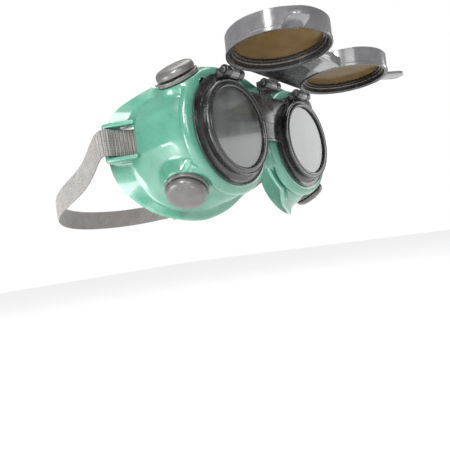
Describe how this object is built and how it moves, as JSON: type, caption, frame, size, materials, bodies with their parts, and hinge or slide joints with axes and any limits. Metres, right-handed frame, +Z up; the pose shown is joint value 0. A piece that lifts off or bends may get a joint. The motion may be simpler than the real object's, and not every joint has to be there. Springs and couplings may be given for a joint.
{
  "type": "welding goggles",
  "caption": "Soft-frame welding goggles with round clear lenses, a hinged flip-up front carrying round shade lenses, button vents and an elastic head strap.",
  "frame": {"origin": "midway between the two lens centres, on the front plane of the fixed retaining rings", "axes": "+Z up on the upright head, front towards -Y, the wearer's left at +X; the flip front is raised at rest"},
  "size_m": [0.176, 0.253, 0.0905],
  "materials": {
    "green_vinyl": "glossy moulded soft PVC",
    "black_plastic": "glossy moulded",
    "grey_plastic": "satin moulded",
    "gasket_rubber": "matt",
    "clear_glass": "polished",
    "shade_glass": "polished, dark brown",
    "grey_webbing": "woven elastic",
    "pin_steel": "satin",
    "spring_wire": "dark satin"
  },
  "bodies": {
    "goggles": {"lens_housing": "black_plastic", "soft_mask": "green_vinyl", "fixed_retaining_ring_right": "black_plastic", "clear_lens_right": "clear_glass", "lens_gasket_right": "gasket_rubber", "vent_base_lower_right": "grey_plastic", "vent_cap_lower_right": "grey_plastic", "vent_base_upper_right": "grey_plastic", "vent_cap_upper_right": "grey_plastic", "fixed_retaining_ring_left": "black_plastic", "clear_lens_left": "clear_glass", "lens_gasket_left": "gasket_rubber", "vent_base_lower_left": "grey_plastic", "vent_cap_lower_left": "grey_plastic", "vent_base_upper_left": "grey_plastic", "vent_cap_upper_left": "grey_plastic", "hinge_pin_right": "pin_steel", "hinge_pin_centre": "pin_steel", "hinge_pin_left": "pin_steel", "head_strap": "grey_webbing", "strap_slider": "grey_plastic"},
    "flip_front": {"flip_frame": "black_plastic", "cover_lens_right": "clear_glass", "shade_lens_right": "shade_glass", "split_ring_right": "spring_wire", "cover_lens_left": "clear_glass", "shade_lens_left": "shade_glass", "split_ring_left": "spring_wire"}
  },
  "joints": [
    {"name": "flip_hinge", "type": "hinge", "parent": "goggles", "child": "flip_front", "pos_m": [0, 0.00042, 0.03087], "axis": [1, 0, 0], "range_deg": [0, 87.4]}
  ]
}
